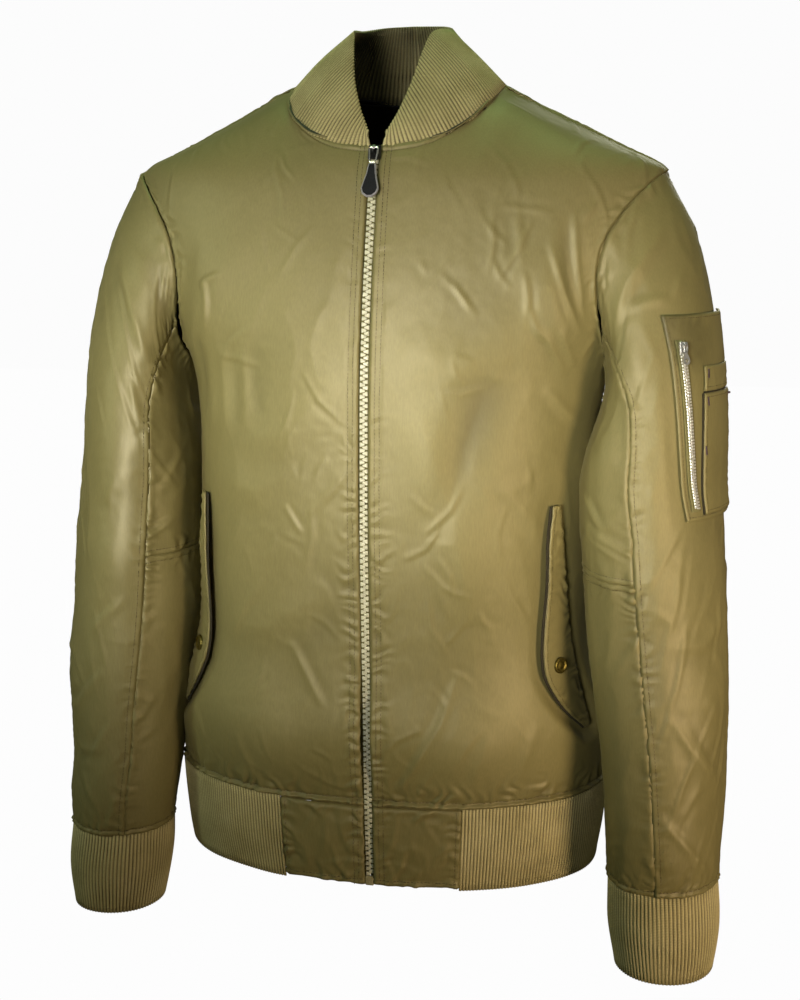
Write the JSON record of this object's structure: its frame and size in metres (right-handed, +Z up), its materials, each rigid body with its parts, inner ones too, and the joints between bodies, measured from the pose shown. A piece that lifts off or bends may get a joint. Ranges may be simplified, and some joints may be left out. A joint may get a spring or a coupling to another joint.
{
  "type": "bomber jacket",
  "caption": "Waist-length bomber jacket in satin nylon with ribbed collar, cuffs and hem, full front zip, slanted side pockets and a zipped utility pocket on the left sleeve.",
  "frame": {"origin": "middle of the neck opening at the height where the shoulder seams meet the collar, where the wearer's neck and shoulders hold the jacket up", "axes": "+X to the wearer's left, -Y to the front, +Z up"},
  "size_m": [0.6194, 0.2696, 0.819],
  "materials": {
    "satin": "satin-faced nylon",
    "knit": "ribbed knit, slight sheen",
    "tape": "woven zip tape",
    "teeth": "chunky moulded teeth",
    "arm_teeth": "silver-coloured teeth",
    "dark_metal": "dark, lightly worn",
    "chrome": "polished",
    "brass": "olive lacquer, satin",
    "leather": "smooth, dark",
    "lining": "plain, dark"
  },
  "bodies": {
    "jacket": {"arm_slider": "chrome", "arm_slider_bridge": "chrome", "arm_zip_chain": "arm_teeth", "arm_zip_tape": "tape", "back": "satin", "collar_rib": "knit", "cuff_rib_left": "knit", "cuff_rib_right": "knit", "front_left": "satin", "front_right": "satin", "hem_front_left": "satin", "hem_front_right": "satin", "hem_rib": "knit", "neck_lining": "lining", "pen_pocket_lower": "satin", "pen_pocket_upper": "satin", "pocket_flap_left": "satin", "pocket_flap_right": "satin", "pocket_snap_left": "brass", "pocket_snap_right": "brass", "sleeve_pocket": "satin", "sleeve_top_left": "satin", "sleeve_top_right": "satin", "sleeve_under_lower_left": "satin", "sleeve_under_lower_right": "satin", "sleeve_under_upper_left": "satin", "sleeve_under_upper_right": "satin", "zip_box": "brass", "zip_chain": "teeth", "zip_slider": "dark_metal", "zip_slider_bridge": "dark_metal", "zip_tape_left": "tape", "zip_tape_right": "tape"},
    "main_pull": {"pull_loop": "chrome", "pull_tab": "leather"},
    "arm_pull": {"arm_pull": "chrome", "arm_pull_bail": "chrome"}
  },
  "joints": [
    {"name": "main_pull_swing", "type": "hinge", "parent": "jacket", "child": "main_pull", "pos_m": [0, -0.0951, -0.06106], "axis": [-1, 0, 0], "range_deg": [0, 150]},
    {"name": "arm_pull_swing", "type": "hinge", "parent": "jacket", "child": "arm_pull", "pos_m": [0.25987, -0.08977, -0.21998], "axis": [-0.8053, -0.5911, 0.0458], "range_deg": [0, 150]}
  ]
}
